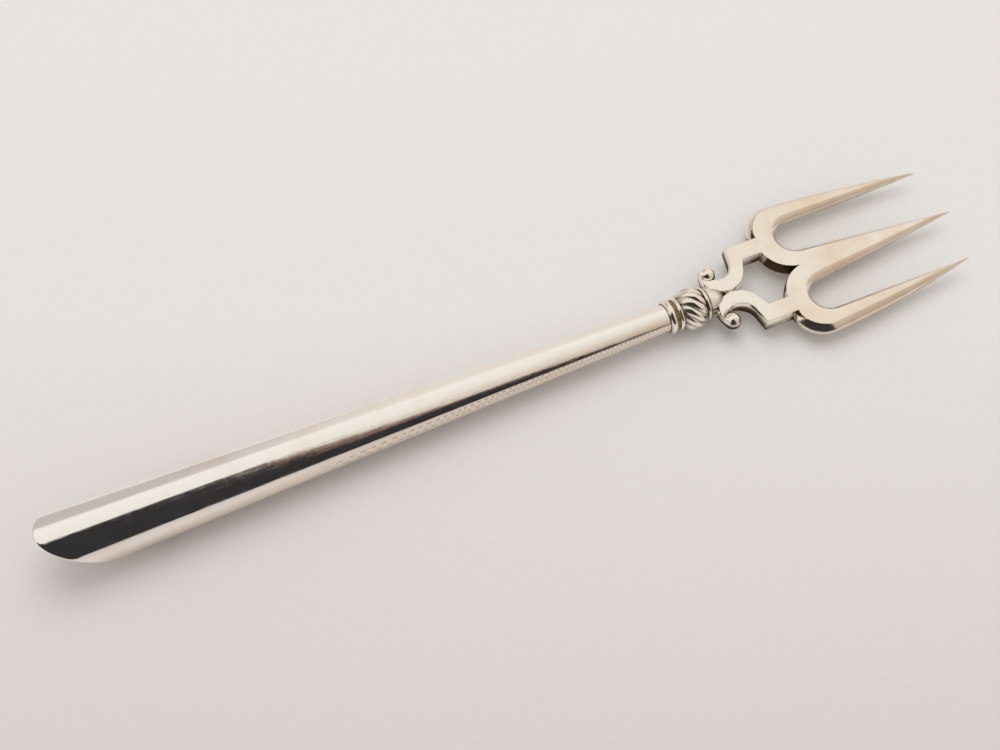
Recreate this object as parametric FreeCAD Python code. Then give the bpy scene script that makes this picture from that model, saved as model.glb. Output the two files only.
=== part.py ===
import FreeCAD, Part
import math
import os

from FreeCAD import Vector

# Bread fork with a pierced trident head and a hollow round handle, in millimetres.
# The fork is drawn along a straight axis: x = 0 where the two scrolls touch, +X to the tines,
# +Z up through the flat face of the head. At the end it is laid down as it rests on a table.

# Trident
centre_tine_tip = 66.0
outer_tine_tip_x = 63.5
outer_tine_tip_y = 14.4
gap_centre_x = 23.9
gap_centre_y = 9.45
gap_radius = 4.7
lobe_centre_x = 20.5
lobe_centre_y = 12.1
lobe_radius = 8.1
lobe_end_angle = 86.0
window_corner_x = 13.0
window_cusp_x = 19.8
window_lobe_radius = 9.05

# Section of the head
face_height = 1.8
bevel_foot_height = 0.5
back_bevel_height = -1.2
back_height = -2.2
outer_bevel = 1.3
inner_bevel = 0.4
window_bevel = 0.2
back_bevel_share = 0.5
taper_start_x = 30.0
tip_face_height = 0.9
tip_back_height = -0.1

# Scroll arms
arm_outer_y = 12.2
arm_inner_y = 7.1
scroll_centre_x = 0.3
scroll_radius = 6.75
scroll_contact = 0.05
scroll_foot_angle = 336.0
volute_radius = 5.3
volute_start_angle = 250.0
volute_end_angle = 141.0
ball_radius = 2.2
pocket_centre_x = -0.3
pocket_centre_y = 8.6
pocket_radius = 4.15
pocket_start_angle = -11.0
pocket_end_angle = -105.0
curl_radius = 2.9
curl_end_angle = -190.0

# Neck, knop and collar, from the scrolls back to the handle
neck_front_x = -1.6
neck_front_radius = 1.5
neck_shoulder_x = -3.3
neck_shoulder_radius = 2.7
neck_root_radius = 4.0
disc_front_x = -7.0
disc_radius = 4.4
disc_thickness = 0.8
ring_runs = 6
knop_length = 6.7
knop_radius = 5.6
knop_end_radius = 3.9
knop_sections = 9
flute_count = 10
flute_depth = 0.6
flute_twist = 78.0
front_reed_width = 1.15
front_reed_radius = 4.45
groove_width = 0.85
groove_radius = 3.95
rear_reed_width = 1.8
rear_reed_radius = 4.64
tang_radius = 1.9
tang_length = 46.0
tang_point_radius = 1.1
tang_point_length = 6.0
tang_clearance = 0.05

# Hollow handle
handle_mouth_radius = 3.6
handle_taper = 0.0314
handle_length = 163.8
butt_cut_length = 26.0
butt_rim_radius = 0.5
heel_wear = 0.15
wall = 0.6
filling_clearance = 0.05

# Places along the axis that follow from the sizes
disc_back_x = disc_front_x - disc_thickness
knop_back_x = disc_back_x - knop_length
front_reed_back_x = knop_back_x - front_reed_width
groove_back_x = front_reed_back_x - groove_width
mouth_x = groove_back_x - rear_reed_width
butt_x = mouth_x - handle_length
bore_radius = tang_radius + tang_clearance


class Line:
    """A straight side of an outline, with the metal on its left and its own bevel width."""

    def __init__(self, start, end, bevel):
        self.start = start
        self.end = end
        self.bevel = bevel
        length = math.dist(start, end)
        self.along = ((end[0] - start[0]) / length, (end[1] - start[1]) / length)

    def depth(self, x, y):
        return (y - self.start[1]) * self.along[0] - (x - self.start[0]) * self.along[1]

    def inward(self, x, y):
        return (-self.along[1], self.along[0])

    def edge(self, first, last, inset, z):
        return Part.LineSegment(Vector(*first, z), Vector(*last, z)).toShape()


class Arc:
    """A round side of an outline, from one angle to another in degrees, with its own bevel width."""

    def __init__(self, centre, radius, start_angle, end_angle, bevel):
        self.centre = centre
        self.radius = radius
        self.turn = 1 if end_angle > start_angle else -1
        self.bevel = bevel
        self.start = on_circle(centre, radius, start_angle)
        self.end = on_circle(centre, radius, end_angle)

    def depth(self, x, y):
        return self.turn * (self.radius - math.dist((x, y), self.centre))

    def inward(self, x, y):
        distance = math.dist((x, y), self.centre)
        return (self.turn * (self.centre[0] - x) / distance, self.turn * (self.centre[1] - y) / distance)

    def edge(self, first, last, inset, z):
        begin = math.atan2(first[1] - self.centre[1], first[0] - self.centre[0])
        finish = math.atan2(last[1] - self.centre[1], last[0] - self.centre[0])
        sweep = self.turn * ((self.turn * (finish - begin)) % (2 * math.pi))
        radius = self.radius - self.turn * inset * self.bevel
        middle = on_circle(self.centre, radius, math.degrees(begin + sweep / 2))
        return Part.Arc(Vector(*first, z), Vector(*middle, z), Vector(*last, z)).toShape()


def on_circle(centre, radius, angle):
    turn = math.radians(angle)
    return (centre[0] + radius * math.cos(turn), centre[1] + radius * math.sin(turn))


def tangent_angle(point, centre, radius, side):
    """The angle on a circle where a line from a point outside touches it."""
    distance = math.dist(point, centre)
    heading = math.atan2(point[1] - centre[1], point[0] - centre[0])
    return math.degrees(heading + side * math.acos(radius / distance))


def centre_left_of(start, end, radius):
    """The centre of a circle through two points, on the left of the way from one to the other."""
    half = math.dist(start, end) / 2
    reach = math.sqrt(radius ** 2 - half ** 2)
    along = ((end[0] - start[0]) / (2 * half), (end[1] - start[1]) / (2 * half))
    return ((start[0] + end[0]) / 2 - along[1] * reach, (start[1] + end[1]) / 2 + along[0] * reach)


def angle_about(centre, point):
    return math.degrees(math.atan2(point[1] - centre[1], point[0] - centre[0])) % 360


def scroll_centre():
    """The two scrolls touch on the axis, where each reaches past it by the contact."""
    return (scroll_centre_x, scroll_radius - scroll_contact)


def volute_centre():
    return on_circle(scroll_centre(), scroll_radius - volute_radius, volute_start_angle)


def meeting_point(before, after, inset):
    """Where two neighbouring sides meet once each has moved inward by its share of the bevel."""
    x, y = after.start
    for _ in range(25):
        ax, ay = before.inward(x, y)
        bx, by = after.inward(x, y)
        short_a = before.bevel * inset - before.depth(x, y)
        short_b = after.bevel * inset - after.depth(x, y)
        cross = ax * by - ay * bx
        if abs(cross) < 0.03:
            return (x + ax * short_a, y + ay * short_a)
        x += (short_a * by - short_b * ay) / cross
        y += (ax * short_b - bx * short_a) / cross
    return (x, y)


def trident_side():
    """Half of the head's outline, anticlockwise: centre tine, gap, outer tine, lobe, arm, window."""
    gap_centre = (gap_centre_x, gap_centre_y)
    lobe_centre = (lobe_centre_x, lobe_centre_y)
    outer_tip = (outer_tine_tip_x, outer_tine_tip_y)
    centre_tip = (centre_tine_tip, 0.0)
    gap_start = tangent_angle(centre_tip, gap_centre, gap_radius, -1)
    gap_end = tangent_angle(outer_tip, gap_centre, gap_radius, 1)
    gap = Arc(gap_centre, gap_radius, gap_start + 360, gap_end, outer_bevel)

    lobe_end = on_circle(lobe_centre, lobe_radius, lobe_end_angle)
    inward = (lobe_centre[0] - lobe_end[0], lobe_centre[1] - lobe_end[1])
    reach = (outer_tip[0] - lobe_end[0], outer_tip[1] - lobe_end[1])
    sag = (reach[0] * inward[0] + reach[1] * inward[1]) / lobe_radius
    back_radius = math.dist(outer_tip, lobe_end) ** 2 / (2 * sag)
    back_centre = on_circle(lobe_end, back_radius, lobe_end_angle + 180)
    tip_angle = angle_about(back_centre, outer_tip)

    step_angle = 180 - math.degrees(math.asin((arm_outer_y - lobe_centre_y) / lobe_radius))
    step = on_circle(lobe_centre, lobe_radius, step_angle)

    pocket_centre = (pocket_centre_x, pocket_centre_y)
    pocket_start = on_circle(pocket_centre, pocket_radius, pocket_start_angle)
    lean = math.radians(pocket_start_angle)
    shoulder_x = pocket_start[0] - math.tan(lean) * (arm_outer_y - pocket_start[1])
    shoulder = (shoulder_x, arm_outer_y)
    curl_centre = on_circle(pocket_centre, pocket_radius - curl_radius, pocket_end_angle)
    curl_end = on_circle(curl_centre, curl_radius, curl_end_angle)

    volute_end = on_circle(volute_centre(), volute_radius, volute_end_angle)
    scroll_foot = on_circle(scroll_centre(), scroll_radius, scroll_foot_angle)
    rise = arm_inner_y - scroll_foot[1]
    inner_corner = (scroll_foot[0] - math.tan(math.radians(scroll_foot_angle)) * rise, arm_inner_y)

    window_corner = (window_corner_x, arm_inner_y)
    cusp = (window_cusp_x, 0.0)
    window_centre = centre_left_of(window_corner, cusp, window_lobe_radius)
    window_start = angle_about(window_centre, window_corner)
    window_end = angle_about(window_centre, cusp)

    return [
        Line(cusp, centre_tip, 0.0),
        Line(centre_tip, gap.start, outer_bevel),
        gap,
        Line(gap.end, outer_tip, outer_bevel),
        Arc(back_centre, back_radius, tip_angle, lobe_end_angle, outer_bevel),
        Arc(lobe_centre, lobe_radius, lobe_end_angle, step_angle, outer_bevel),
        Line(step, shoulder, inner_bevel),
        Line(shoulder, pocket_start, inner_bevel),
        Arc(pocket_centre, pocket_radius, pocket_start_angle, pocket_end_angle, inner_bevel),
        Arc(curl_centre, curl_radius, pocket_end_angle, curl_end_angle, inner_bevel),
        Line(curl_end, volute_end, 0.0),
        Arc(volute_centre(), volute_radius, volute_end_angle, volute_start_angle, inner_bevel),
        Arc(scroll_centre(), scroll_radius, volute_start_angle, scroll_foot_angle, inner_bevel),
        Line(scroll_foot, inner_corner, inner_bevel),
        Line(inner_corner, window_corner, window_bevel),
        Arc(window_centre, window_lobe_radius, window_start, window_end, window_bevel),
    ]


def outline_wire(sides, inset, z):
    """The closed outline at one height, moved inward by a share of each side's bevel."""
    count = len(sides)
    corners = [meeting_point(sides[i - 1], sides[i], inset) for i in range(count)]
    edges = [sides[i].edge(corners[i], corners[(i + 1) % count], inset, z) for i in range(count)]
    return Part.Wire(edges)


def polygon_face(points):
    return Part.Face(Part.makePolygon(points + [points[0]]))


def revolved(profile):
    """A turned piece about the fork's axis, from (x, radius) points that run along its section."""
    points = [Vector(x, 0, radius) for x, radius in profile]
    face = Part.Face(Part.makePolygon(points + [points[0]]))
    return face.revolve(Vector(0, 0, 0), Vector(1, 0, 0), 360)


def side_prism(profile, half_width):
    """A prism across the fork, from (x, z) points seen from the side."""
    points = [Vector(x, -half_width, z) for x, z in profile]
    face = Part.Face(Part.makePolygon(points + [points[0]]))
    return face.extrude(Vector(0, 2 * half_width, 0))


def make_head_plate():
    """The trident, lobes and scroll arms, bevelled on the face and lightly on the back."""
    sides = trident_side()
    levels = [
        (back_height, back_bevel_share),
        (back_bevel_height, 0.0),
        (bevel_foot_height, 0.0),
        (face_height, 1.0),
    ]
    wires = [outline_wire(sides, inset, z) for z, inset in levels]
    half = Part.makeLoft(wires, True, True)
    other_half = half.mirror(Vector(0, 0, 0), Vector(0, 1, 0))
    plate = half.fuse(other_half)
    behind = scroll_centre_x - 2 * scroll_radius
    beyond = centre_tine_tip + 1
    run = centre_tine_tip - taper_start_x
    face_slope = (tip_face_height - face_height) / run
    back_slope = (tip_back_height - back_height) / run
    thinning = side_prism(
        [
            (behind, face_height),
            (taper_start_x, face_height),
            (beyond, face_height + face_slope * (beyond - taper_start_x)),
            (beyond, back_height + back_slope * (beyond - taper_start_x)),
            (taper_start_x, back_height),
            (behind, back_height),
        ],
        lobe_centre_y + 2 * lobe_radius,
    )
    return plate.common(thinning)


def make_ring(back_x, width, radius, inner_radius):
    """A ring whose outer edge is rounded over by short straight runs."""
    profile = [(back_x, inner_radius)]
    for run in range(ring_runs + 1):
        turn = math.pi * run / ring_runs
        profile.append((back_x + width / 2 * (1 - math.cos(turn)), radius - width / 2 * (1 - math.sin(turn))))
    profile.append((back_x + width, inner_radius))
    return revolved(profile)


def make_band():
    """The band of solder in the groove between the two reeds."""
    return revolved(
        [
            (groove_back_x, bore_radius),
            (groove_back_x, groove_radius),
            (front_reed_back_x, groove_radius),
            (front_reed_back_x, bore_radius),
        ]
    )


def make_ball(side):
    """The ball that ends a volute, set inside the curl so that it touches the scroll's outer edge."""
    x, y = on_circle(volute_centre(), volute_radius - ball_radius, volute_end_angle)
    middle = (face_height + back_height) / 2
    return Part.makeSphere(ball_radius, Vector(x, side * y, middle))


def make_fork_head():
    """The casting: trident, scroll arms with their balls, neck, disc and the tang behind it."""
    tang_end = disc_back_x - tang_length
    stem = revolved(
        [
            (tang_end, 0),
            (tang_end, tang_point_radius),
            (tang_end + tang_point_length, tang_radius),
            (disc_back_x + disc_thickness / 2, tang_radius),
            (disc_front_x - disc_thickness / 2, neck_root_radius),
            (disc_front_x, neck_root_radius),
            (neck_shoulder_x, neck_shoulder_radius),
            (neck_front_x, neck_front_radius),
            (neck_front_x, 0),
        ]
    )
    disc = make_ring(disc_back_x, disc_thickness, disc_radius, tang_radius / 2)
    head = make_head_plate()
    for piece in (stem, disc, make_ball(1), make_ball(-1)):
        head = head.fuse(piece)
    return head.removeSplitter()


def knop_outline_radius(share):
    """The bead's radius from its back end (0) to its front end (1)."""
    return knop_end_radius + (knop_radius - knop_end_radius) * math.sin(math.pi * share) ** 0.75


def fluted_section(share):
    """One slice of the twisted bead: rounded lobes with narrow valleys, one of them at the bottom."""
    x = knop_back_x + knop_length * share
    crest = knop_outline_radius(share)
    depth = flute_depth * (0.35 + 0.65 * math.sin(math.pi * share))
    turn = math.radians(flute_twist) * (share - 0.5) - math.pi / 2
    points = []
    steps = flute_count * 6
    for step in range(steps):
        angle = 2 * math.pi * step / steps
        radius = crest - depth * (1 - abs(math.sin(flute_count * angle / 2)))
        points.append(Vector(x, radius * math.cos(angle + turn), radius * math.sin(angle + turn)))
    return points


def make_twisted_knop():
    shares = [(1 - math.cos(math.pi * i / (knop_sections - 1))) / 2 for i in range(knop_sections)]
    slices = [fluted_section(share) for share in shares]
    faces = [polygon_face(slices[0]), polygon_face(slices[-1])]
    for back, front in zip(slices, slices[1:]):
        for here in range(len(back)):
            beside = (here + 1) % len(back)
            faces.append(polygon_face([back[here], back[beside], front[beside]]))
            faces.append(polygon_face([back[here], front[beside], front[here]]))
    bead = Part.makeSolid(Part.makeShell(faces))
    bore = Part.makeCylinder(bore_radius, knop_length + 2, Vector(knop_back_x - 1, 0, 0), Vector(1, 0, 0))
    return bead.cut(bore)


def handle_radius(x):
    return handle_mouth_radius + handle_taper * (mouth_x - x)


def butt_slant():
    """The slope of the end cut, and how far its sharp corner would reach past the rounded tip."""
    drop = handle_radius(butt_x) + handle_radius(butt_x + butt_cut_length)
    slant = math.atan2(drop, butt_cut_length)
    half_corner = (slant - math.atan(handle_taper)) / 2
    return slant, butt_rim_radius * (1 / math.sin(half_corner) - 1)


def handle_form(shrink, front_x):
    """The tapering handle with its slanted end, drawn smaller all round by the shrink."""
    slant, allowance = butt_slant()
    thinner = shrink / math.cos(math.atan(handle_taper))
    tip_z = handle_radius(butt_x)
    back_x = butt_x - 2 * allowance
    cone = revolved(
        [
            (back_x, 0),
            (back_x, handle_radius(back_x) - thinner),
            (front_x, handle_radius(front_x) - thinner),
            (front_x, 0),
        ]
    )
    along = Vector(math.cos(slant), 0, -math.sin(slant))
    inward = Vector(math.sin(slant), 0, math.cos(slant))
    on_slant = Vector(butt_x - allowance, 0, tip_z) + inward * shrink
    above = on_slant - along * handle_length
    below = on_slant + along * handle_length
    far_x = below.x + 2 * handle_length
    profile = [(above.x, above.z), (below.x, below.z), (far_x, below.z), (far_x, above.z)]
    return cone.common(side_prism(profile, 2 * tip_z))


def rounded_butt(form):
    """The handle with the rim of its slanted end rounded over."""
    slanted = [face for face in form.Faces if is_slanted(face)]
    return form.makeFillet(butt_rim_radius, slanted[0].Edges)


def is_slanted(face):
    normal = face.normalAt(0, 0)
    return isinstance(face.Surface, Part.Plane) and 0.2 < abs(normal.z) < 0.98


def resting_line():
    """The table seen from the side: its slope, and its height at x = 0, under the knop and the worn heel."""
    slant, allowance = butt_slant()
    heel_x = butt_x + butt_cut_length - allowance
    heel_z = heel_wear - handle_radius(heel_x)
    knop_x = (knop_back_x + disc_back_x) / 2
    knop_z = -knop_radius * math.cos(math.pi / flute_count)
    slope = (knop_z - heel_z) / (knop_x - heel_x)
    return slope, knop_z - slope * knop_x


def make_table():
    """What lies under the handle. It cuts the small worn flat on which the heel rests."""
    reach = 2 * handle_radius(butt_x)
    back_x = butt_x - reach
    slope, level = resting_line()
    back_z = level + slope * back_x
    mouth_z = level + slope * mouth_x
    under_z = back_z - reach
    return side_prism([(back_x, back_z), (mouth_x, mouth_z), (mouth_x, under_z), (back_x, under_z)], reach)


def make_handle():
    """The two stamped halves of the hollow handle, which meet in the seam along each side."""
    outside = rounded_butt(handle_form(0, mouth_x).cut(make_table()))
    shell = outside.cut(handle_form(wall, mouth_x + 1))
    reach = 2 * handle_radius(butt_x)
    back_x = butt_x - reach
    front_x = mouth_x + 1
    above = side_prism([(back_x, 0), (front_x, 0), (front_x, reach), (back_x, reach)], reach)
    below = side_prism([(back_x, -reach), (front_x, -reach), (front_x, 0), (back_x, 0)], reach)
    return shell.common(above), shell.common(below)


def make_filling():
    """The resin that fills the handle and grips the tang."""
    return handle_form(wall + filling_clearance, mouth_x - filling_clearance).cut(make_tang_room())


def make_tang_room():
    tang_end = disc_back_x - tang_length
    return revolved(
        [
            (tang_end - tang_clearance, 0),
            (tang_end - tang_clearance, tang_point_radius + tang_clearance),
            (tang_end + tang_point_length, bore_radius),
            (mouth_x + 1, bore_radius),
            (mouth_x + 1, 0),
        ]
    )


def lay_down(pieces):
    """Tip the fork until its heel and knop rest on the table, with the origin under its middle."""
    slope, level = resting_line()
    pitch = math.degrees(math.atan(slope))
    whole = Part.makeCompound(list(pieces.values()))
    whole.rotate(Vector(0, 0, 0), Vector(0, 1, 0), pitch)
    box = whole.optimalBoundingBox()
    move = Vector(-box.Center.x, -box.Center.y, -box.ZMin)
    for name, piece in pieces.items():
        piece.rotate(Vector(0, 0, 0), Vector(0, 1, 0), pitch)
        piece.translate(move)
    print("pitch", round(pitch, 4), "moved by", move)


def main():
    os.makedirs("parts", exist_ok=True)
    upper, lower = make_handle()
    pieces = {
        "fork_head": make_fork_head(),
        "twisted_knop": make_twisted_knop(),
        "collar_front_reed": make_ring(front_reed_back_x, front_reed_width, front_reed_radius, bore_radius),
        "collar_rear_reed": make_ring(mouth_x, rear_reed_width, rear_reed_radius, bore_radius),
        "solder_band": make_band(),
        "handle_upper_half": upper,
        "handle_lower_half": lower,
        "handle_filling": make_filling(),
    }
    lay_down(pieces)
    for name, piece in pieces.items():
        piece.exportStep(os.path.join("parts", name + ".step"))
        print(name, len(piece.Solids), "solid,", round(piece.Volume, 1), "mm3, valid", piece.isValid())


main()
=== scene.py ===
import math

import bmesh
import bpy
import numpy as np
from mathutils import Matrix, Vector
from mathutils.geometry import delaunay_2d_cdt


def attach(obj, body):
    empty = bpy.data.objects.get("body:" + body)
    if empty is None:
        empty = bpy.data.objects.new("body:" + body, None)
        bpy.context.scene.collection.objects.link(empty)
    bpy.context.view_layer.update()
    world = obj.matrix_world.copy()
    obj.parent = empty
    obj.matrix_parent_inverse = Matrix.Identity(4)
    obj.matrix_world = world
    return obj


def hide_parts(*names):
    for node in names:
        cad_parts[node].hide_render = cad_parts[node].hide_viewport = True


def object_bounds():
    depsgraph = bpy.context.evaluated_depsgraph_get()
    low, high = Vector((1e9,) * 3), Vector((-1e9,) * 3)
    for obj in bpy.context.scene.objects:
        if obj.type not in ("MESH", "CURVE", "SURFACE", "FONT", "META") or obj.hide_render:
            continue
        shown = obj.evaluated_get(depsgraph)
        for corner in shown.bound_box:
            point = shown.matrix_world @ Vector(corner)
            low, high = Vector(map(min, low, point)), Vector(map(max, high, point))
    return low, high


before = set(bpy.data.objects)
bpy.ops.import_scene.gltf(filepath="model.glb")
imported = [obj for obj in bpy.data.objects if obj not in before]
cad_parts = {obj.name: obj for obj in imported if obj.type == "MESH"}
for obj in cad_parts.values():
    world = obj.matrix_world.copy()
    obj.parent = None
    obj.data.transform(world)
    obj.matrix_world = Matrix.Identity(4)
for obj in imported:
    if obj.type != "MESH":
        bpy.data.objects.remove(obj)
cad_low, cad_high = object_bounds()

# The fork is drawn in millimetres along its own axis, as in the part's source: x = 0 where the scrolls
# touch, +X to the tines. It is then laid down by the same small pitch and the same move.
PITCH = math.radians(0.9766)
MOVE = np.array([58.0448, 0.0, 5.2082])

CENTRE_TIP = 66.0
OUTER_TIP = (63.5, 14.4)
GAP_CENTRE = (23.9, 9.45)
GAP_RADIUS = 4.7
LOBE_CENTRE = (20.5, 12.1)
LOBE_RADIUS = 8.1
LOBE_END_ANGLE = 86.0
WINDOW_CORNER_X = 13.0
WINDOW_CUSP_X = 19.8
WINDOW_LOBE_RADIUS = 9.05
FACE_Z = 1.8
BEVEL_FOOT_Z = 0.5
BACK_BEVEL_Z = -1.2
BACK_Z = -2.2
OUTER_BEVEL = 1.3
BACK_EDGE_BEVEL = 1.7
BACK_EDGE_FOOT_Z = -0.1
INNER_BEVEL = 0.4
WINDOW_BEVEL = 0.2
BACK_SHARE = 0.5
TAPER_X = 30.0
ARM_OUTER_Y = 12.2
ARM_INNER_Y = 7.1
SCROLL_CENTRE = (0.3, 6.7)
SCROLL_RADIUS = 6.75
SCROLL_FOOT_ANGLE = 336.0
VOLUTE_RADIUS = 5.3
VOLUTE_START_ANGLE = 250.0
VOLUTE_END_ANGLE = 141.0
BALL_RADIUS = 2.2
POCKET_CENTRE = (-0.3, 8.6)
POCKET_RADIUS = 4.15
POCKET_START_ANGLE = -11.0
POCKET_END_ANGLE = -105.0
CURL_RADIUS = 2.9
CURL_END_ANGLE = -190.0
DISC_BACK_X = -7.8
DISC_FRONT_X = -7.0
DISC_RADIUS = 4.4
TANG_RADIUS = 1.9
TANG_POINT_X = -47.8
TANG_BACK_X = -53.8
KNOP_BACK_X = -14.5
KNOP_LENGTH = 6.7
KNOP_RADIUS = 5.6
KNOP_END_RADIUS = 3.9
FLUTE_COUNT = 10
FLUTE_DEPTH = 0.6
FLUTE_TWIST = math.radians(78.0)
FRONT_REED_BACK_X = -15.65
GROOVE_BACK_X = -16.5
MOUTH_X = -18.3
BORE_RADIUS = 1.95
FRONT_REED_RADIUS = 4.45
REAR_REED_RADIUS = 4.64
BAND_RADIUS = 3.95
HANDLE_MOUTH_RADIUS = 3.6
HANDLE_TAPER = 0.0314
BUTT_X = -182.1
BUTT_CUT_LENGTH = 26.0
BUTT_RIM_RADIUS = 0.5
WAVES_FROM_X = -176.0
WAVES_FULLY_X = -150.0

# The two rows of file marks lie this far to each side of the seam. Other pieces count as far from it.
MARK_ROW_OFFSET = 0.72
FAR_FROM_SEAM = 50.0

# The camera's place in fork millimetres, the way it looks and its upward direction.
CAMERA_PLACE = (-171.364, -194.461, 402.587)
CAMERA_FORWARD = (0.2338, 0.4251, -0.8744)
CAMERA_UP = (0.3394, 0.8071, 0.4832)
CAMERA_SENSOR_WIDTH = 36.0
CAMERA_LENS = 66.7

# Dark brown for dirt and painted shade in hollows, corners and under parts, and for painted reflection
# on walls.
DIRT_AND_SHADE_COLOUR = (0.085, 0.045, 0.022, 1.0)
MARK_COLOUR = (0.12, 0.075, 0.05, 1.0)
WARM_STRIP_COLOUR = (0.86, 0.775, 0.69, 1.0)


def lay_down(points):
    """Fork millimetres to the row frame's metres."""
    points = np.asarray(points, float)
    x, y, z = points[:, 0], points[:, 1], points[:, 2]
    c, s = math.cos(PITCH), math.sin(PITCH)
    laid = np.column_stack((x * c + z * s, y, z * c - x * s)) + MOVE
    return laid / 1000.0


def turned(direction):
    """A direction of the fork in the row frame."""
    c, s = math.cos(PITCH), math.sin(PITCH)
    x, y, z = direction
    return Vector((x * c + z * s, y, z * c - x * s))


def smooth_step(low, high, value):
    share = np.clip((np.asarray(value, float) - low) / (high - low), 0.0, 1.0)
    return share * share * (3 - 2 * share)


class Skin:
    """Points and faces for one mesh, with each point's dirt and painted shade and its distance from the
    handle's seam.
    """

    def __init__(self):
        self.points = []
        self.faces = []
        self.shade_and_grime = []
        self.seam = []

    def add_points(self, points, shade_and_grime=0.0, seam=FAR_FROM_SEAM):
        first = len(self.points)
        self.points.extend(map(tuple, points))
        shade_and_dirt = np.broadcast_to(np.asarray(shade_and_grime, float), (len(points),))
        self.shade_and_grime.extend(shade_and_dirt.tolist())
        away = np.broadcast_to(np.asarray(seam, float), (len(points),))
        self.seam.extend(away.tolist())
        return first

    def add_grid(self, rows, wrap=False, shade_and_grime=0.0, seam=FAR_FROM_SEAM):
        """Rows of points joined by quads. With wrap, each row closes on itself."""
        rows = np.asarray(rows, float)
        count, width = rows.shape[:2]
        shade_and_dirt = np.broadcast_to(np.asarray(shade_and_grime, float), (count, width)).ravel()
        away = np.broadcast_to(np.asarray(seam, float), (count, width)).ravel()
        first = self.add_points(rows.reshape(-1, 3), shade_and_dirt, away)
        last = width if wrap else width - 1
        for i in range(count - 1):
            for j in range(last):
                k = (j + 1) % width
                a = first + i * width
                b = a + width
                self.faces.append((a + j, a + k, b + k, b + j))

    def make(self, name, material, merge=0.002, crease=55.0):
        """The finished piece. What would pass below the table is the worn flat under the heel."""
        mesh = bpy.data.meshes.new(name)
        laid = np.clip(lay_down(self.points), cad_low, cad_high)
        mesh.from_pydata(laid.tolist(), [], self.faces)
        for kind, values in (("shade_and_grime", self.shade_and_grime), ("seam", self.seam)):
            attribute = mesh.attributes.new(kind, "FLOAT", "POINT")
            attribute.data.foreach_set("value", np.array(values, np.float32))
        work = bmesh.new()
        work.from_mesh(mesh)
        bmesh.ops.remove_doubles(work, verts=work.verts, dist=merge / 1000)
        bmesh.ops.dissolve_degenerate(work, edges=work.edges, dist=merge / 4000)
        bmesh.ops.recalc_face_normals(work, faces=work.faces)
        work.to_mesh(mesh)
        work.free()
        mesh.shade_smooth()
        mesh.set_sharp_from_angle(angle=math.radians(crease))
        mesh.materials.append(material)
        piece = bpy.data.objects.new(name, mesh)
        bpy.context.collection.objects.link(piece)
        return piece


# Outline of the trident, side by side


def on_circle(centre, radius, angle):
    turn = math.radians(angle)
    return (centre[0] + radius * math.cos(turn), centre[1] + radius * math.sin(turn))


class Line:
    """A straight side. The trident lies to the left of each side."""

    def __init__(self, start, end, bevel):
        self.start, self.end, self.bevel = start, end, bevel
        length = math.dist(start, end)
        self.count = max(2, round(length / 0.5))
        self.along = ((end[0] - start[0]) / length, (end[1] - start[1]) / length)

    def depth(self, x, y):
        """How far the point lies inside this side."""
        return (y - self.start[1]) * self.along[0] - (x - self.start[0]) * self.along[1]

    def inward(self, x, y):
        return (-self.along[1], self.along[0])

    def sample(self, first, last, inset):
        shares = np.linspace(0, 1, self.count + 1)[:, None]
        return np.array(first) * (1 - shares) + np.array(last) * shares


class Arc:
    """A round side, anticlockwise where the end angle is the larger."""

    def __init__(self, centre, radius, start_angle, end_angle, bevel):
        self.centre, self.radius, self.bevel = centre, radius, bevel
        self.turn = 1 if end_angle > start_angle else -1
        self.start = on_circle(centre, radius, start_angle)
        self.end = on_circle(centre, radius, end_angle)
        self.count = max(6, round(abs(math.radians(end_angle - start_angle)) * radius / 0.3))

    def depth(self, x, y):
        return self.turn * (self.radius - math.dist((x, y), self.centre))

    def inward(self, x, y):
        distance = math.dist((x, y), self.centre)
        return (self.turn * (self.centre[0] - x) / distance, self.turn * (self.centre[1] - y) / distance)

    def sample(self, first, last, inset):
        begin = math.atan2(first[1] - self.centre[1], first[0] - self.centre[0])
        finish = math.atan2(last[1] - self.centre[1], last[0] - self.centre[0])
        sweep = self.turn * ((self.turn * (finish - begin)) % (2 * math.pi))
        radius = self.radius - self.turn * inset * self.bevel
        angles = begin + sweep * np.linspace(0, 1, self.count + 1)
        return np.column_stack(
            (self.centre[0] + radius * np.cos(angles), self.centre[1] + radius * np.sin(angles))
        )


def tangent_angle(point, centre, radius, side):
    """Where the tangent from a point touches a circle."""
    distance = math.dist(point, centre)
    heading = math.atan2(point[1] - centre[1], point[0] - centre[0])
    return math.degrees(heading + side * math.acos(radius / distance))


def centre_left_of(start, end, radius):
    """Centre of the arc through two points that lies to the left of the way between them."""
    half = math.dist(start, end) / 2
    reach = math.sqrt(radius**2 - half**2)
    along = ((end[0] - start[0]) / (2 * half), (end[1] - start[1]) / (2 * half))
    return ((start[0] + end[0]) / 2 - along[1] * reach, (start[1] + end[1]) / 2 + along[0] * reach)


def angle_about(centre, point):
    return math.degrees(math.atan2(point[1] - centre[1], point[0] - centre[0])) % 360


def volute_centre():
    return on_circle(SCROLL_CENTRE, SCROLL_RADIUS - VOLUTE_RADIUS, VOLUTE_START_ANGLE)


def ball_centre():
    return on_circle(volute_centre(), VOLUTE_RADIUS - BALL_RADIUS, VOLUTE_END_ANGLE)


def meeting_point(before, after, inset):
    """The corner of two neighbouring sides, each moved inward by its bevel times inset."""
    x, y = after.start
    for _ in range(25):
        ax, ay = before.inward(x, y)
        bx, by = after.inward(x, y)
        short_a = before.bevel * inset - before.depth(x, y)
        short_b = after.bevel * inset - after.depth(x, y)
        cross = ax * by - ay * bx
        if abs(cross) < 0.03:
            return (x + ax * short_a, y + ay * short_a)
        x += (short_a * by - short_b * ay) / cross
        y += (ax * short_b - bx * short_a) / cross
    return (x, y)


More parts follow.
